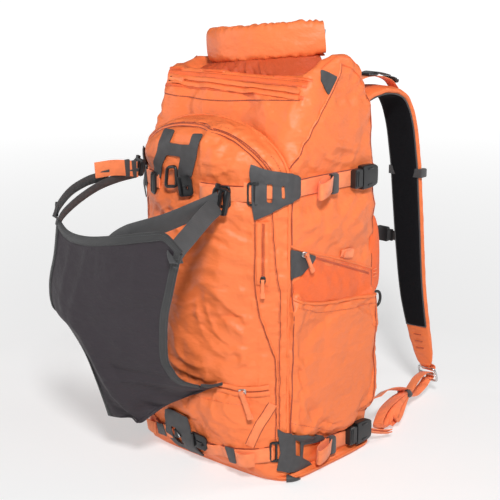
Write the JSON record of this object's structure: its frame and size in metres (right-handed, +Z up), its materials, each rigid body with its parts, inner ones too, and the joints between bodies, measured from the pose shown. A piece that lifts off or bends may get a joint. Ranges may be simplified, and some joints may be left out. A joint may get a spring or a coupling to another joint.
{
  "type": "ski touring backpack",
  "caption": "Roll-top ski touring backpack with front pocket, stowed helmet holder, compression straps, side pockets and padded shoulder straps, standing upright.",
  "frame": {"origin": "centre of the flat base that the pack stands on, on the ground", "axes": "+Z up, -Y out of the front pocket away from the wearer, +X to the right as seen from the front"},
  "size_m": [0.3417, 0.687, 0.6954],
  "materials": {
    "orange_fabric": "coated ripstop nylon in burnt orange, slight sheen",
    "orange_webbing": "orange woven nylon webbing and cord",
    "black_hypalon": "charcoal hypalon patches, fine matte grain",
    "black_fabric": "black stretch-woven nylon",
    "black_mesh": "black spacer mesh over foam",
    "black_webbing": "black woven nylon webbing",
    "black_plastic": "black acetal, satin moulded finish",
    "steel": "satin steel",
    "aluminium": "extruded aluminium stay",
    "hdpe": "white polyethylene frame sheet"
  },
  "bodies": {
    "pack": {"main_shell": "orange_fabric", "base_panel": "orange_fabric", "corner_guards": "black_hypalon", "front_pocket_shell": "orange_fabric", "collar": "orange_fabric", "back_panel": "black_fabric", "back_pads": "black_mesh", "lumbar_pad": "black_mesh", "frame_sheet": "hdpe", "frame_stays": "aluminium", "side_pockets": "orange_fabric", "seam_patches": "black_hypalon", "ladder_patch": "black_hypalon", "upper_patches": "black_hypalon", "lower_patches": "black_hypalon", "strap_bars": "black_plastic", "upper_webbing": "orange_webbing", "lower_webbing": "orange_webbing", "strap_keepers": "black_webbing", "buckle_housings": "black_plastic", "anchor_loops": "black_webbing", "top_zip": "black_plastic", "front_zip": "black_plastic", "low_pocket_zip": "black_plastic", "side_zips": "black_plastic", "holder_root": "black_fabric"},
    "top_zip_slider": {"top_zip_slider": "black_plastic"},
    "top_zip_pull": {"top_zip_pull": "orange_webbing"},
    "front_zip_slider": {"front_zip_slider": "black_plastic"},
    "front_zip_pull": {"front_zip_pull": "orange_webbing"},
    "low_zip_slider": {"low_zip_slider": "black_plastic"},
    "low_zip_pull": {"low_zip_pull": "orange_webbing"},
    "side_zip_slider_right": {"side_zip_slider_right": "black_plastic"},
    "side_zip_pull_right": {"side_zip_pull_right": "orange_webbing"},
    "side_zip_slider_left": {"side_zip_slider_left": "black_plastic"},
    "side_zip_pull_left": {"side_zip_pull_left": "orange_webbing"},
    "clip_upper_right": {"clip_upper_right": "black_plastic"},
    "clip_upper_left": {"clip_upper_left": "black_plastic"},
    "clip_lower_right": {"clip_lower_right": "black_plastic"},
    "clip_lower_left": {"clip_lower_left": "black_plastic"},
    "roll": {"roll_top": "orange_fabric", "roll_buckle_housing": "black_plastic"},
    "roll_clip": {"roll_buckle_clip": "black_plastic"},
    "harness": {"shoulder_strap_right": "orange_fabric", "shoulder_strap_left": "orange_fabric", "strap_hardware": "black_plastic", "harness_webbing": "orange_webbing"},
    "sternum": {"sternum_strap": "black_webbing"},
    "sternum_clip": {"sternum_clip": "black_plastic"},
    "ring_right": {"ring_right": "steel"},
    "d_ring_right": {"d_ring_right": "black_plastic"},
    "ring_left": {"ring_left": "steel"},
    "d_ring_left": {"d_ring_left": "black_plastic"},
    "haul_handle": {"haul_handle": "black_webbing"},
    "holder": {"holder_panel": "black_fabric", "holder_straps": "black_webbing", "holder_hooks": "black_plastic"},
    "ladder_hook": {"ladder_hook": "black_plastic"},
    "base_hook": {"base_hook": "black_plastic"}
  },
  "joints": [
    {"name": "top_zip_slide", "type": "slide", "parent": "pack", "child": "top_zip_slider", "axis": [1, 0, 0], "range_m": [0, 0.25]},
    {"name": "top_zip_pull_flip", "type": "hinge", "parent": "top_zip_slider", "child": "top_zip_pull", "pos_m": [-0.128, -0.07434, 0.59678], "axis": [0, -0.3227, -0.9465], "range_deg": [0, 100]},
    {"name": "front_zip_slide", "type": "slide", "parent": "pack", "child": "front_zip_slider", "axis": [0, 0, 1], "range_m": [0, 0.075]},
    {"name": "front_zip_pull_flip", "type": "hinge", "parent": "front_zip_slider", "child": "front_zip_pull", "pos_m": [0.12732, -0.13992, 0.327], "axis": [-0.767, -0.6416, 0], "range_deg": [0, 100]},
    {"name": "low_zip_slide", "type": "slide", "parent": "pack", "child": "low_zip_slider", "axis": [-0.9219, -0.3875, 0], "range_m": [0, 0.03]},
    {"name": "low_zip_pull_flip", "type": "hinge", "parent": "low_zip_slider", "child": "low_zip_pull", "pos_m": [0.1018, -0.1593, 0.15], "axis": [-0.9219, -0.3875, 0], "range_deg": [0, 100]},
    {"name": "side_zip_slide_right", "type": "slide", "parent": "pack", "child": "side_zip_slider_right", "axis": [0, 0.9323, -0.3616], "range_m": [0, 0.165]},
    {"name": "side_zip_pull_right_flip", "type": "hinge", "parent": "side_zip_slider_right", "child": "side_zip_pull_right", "pos_m": [0.1584, -0.07654, 0.35911], "axis": [0, -0.9323, 0.3616], "range_deg": [0, 100]},
    {"name": "side_zip_slide_left", "type": "slide", "parent": "pack", "child": "side_zip_slider_left", "axis": [0, 0.9323, -0.3616], "range_m": [0, 0.165]},
    {"name": "side_zip_pull_left_flip", "type": "hinge", "parent": "side_zip_slider_left", "child": "side_zip_pull_left", "pos_m": [-0.1584, -0.07654, 0.35911], "axis": [0, 0.9323, -0.3616], "range_deg": [0, 100]},
    {"name": "release_upper_right", "type": "slide", "parent": "pack", "child": "clip_upper_right", "axis": [0, -1, 0], "range_m": [0, 0.028]},
    {"name": "release_upper_left", "type": "slide", "parent": "pack", "child": "clip_upper_left", "axis": [0, -1, 0], "range_m": [0, 0.028]},
    {"name": "release_lower_right", "type": "slide", "parent": "pack", "child": "clip_lower_right", "axis": [0, -1, 0], "range_m": [0, 0.028]},
    {"name": "release_lower_left", "type": "slide", "parent": "pack", "child": "clip_lower_left", "axis": [0, -1, 0], "range_m": [0, 0.028]},
    {"name": "roll_lift", "type": "slide", "parent": "pack", "child": "roll", "axis": [0, 0, 1], "range_m": [0, 0.09]},
    {"name": "roll_release", "type": "slide", "parent": "roll", "child": "roll_clip", "axis": [0.9976, 0, 0.0698], "range_m": [0, 0.024]},
    {"name": "harness_swing", "type": "hinge", "parent": "pack", "child": "harness", "pos_m": [0, 0.1, 0.538], "axis": [1, 0, 0], "range_deg": [-5, 25], "deforming": ["harness_webbing"]},
    {"name": "sternum_height", "type": "slide", "parent": "harness", "child": "sternum", "axis": [0, -0.0995, 0.995], "range_m": [-0.035, 0.035]},
    {"name": "sternum_release", "type": "slide", "parent": "sternum", "child": "sternum_clip", "axis": [-1, 0, 0], "range_m": [0, 0.018]},
    {"name": "ring_swing_right", "type": "hinge", "parent": "harness", "child": "ring_right", "pos_m": [0.092, 0.348, 0.051], "axis": [1, 0, 0], "range_deg": [-20, 20]},
    {"name": "d_ring_swing_right", "type": "hinge", "parent": "pack", "child": "d_ring_right", "pos_m": [0.142, 0.111, 0.243], "axis": [0, 0, 1], "range_deg": [-40, 40]},
    {"name": "ring_swing_left", "type": "hinge", "parent": "harness", "child": "ring_left", "pos_m": [-0.092, 0.348, 0.051], "axis": [1, 0, 0], "range_deg": [-20, 20]},
    {"name": "d_ring_swing_left", "type": "hinge", "parent": "pack", "child": "d_ring_left", "pos_m": [-0.142, 0.111, 0.243], "axis": [0, 0, 1], "range_deg": [-40, 40]},
    {"name": "handle_lift", "type": "hinge", "parent": "pack", "child": "haul_handle", "pos_m": [0, 0.0935, 0.588], "axis": [1, 0, 0], "range_deg": [0, 80]},
    {"name": "holder_swing", "type": "hinge", "parent": "pack", "child": "holder", "pos_m": [0, -0.228, 0.084], "axis": [1, 0, 0], "range_deg": [0, 70]},
    {"name": "ladder_hook_swing", "type": "hinge", "parent": "pack", "child": "ladder_hook", "pos_m": [-0.03, -0.1745, 0.46], "axis": [0, 0, -1], "range_deg": [0, 60]},
    {"name": "base_hook_swing", "type": "hinge", "parent": "pack", "child": "base_hook", "pos_m": [0.00009, -0.1586, 0.044], "axis": [0, 0, -1], "range_deg": [0, 60]}
  ]
}
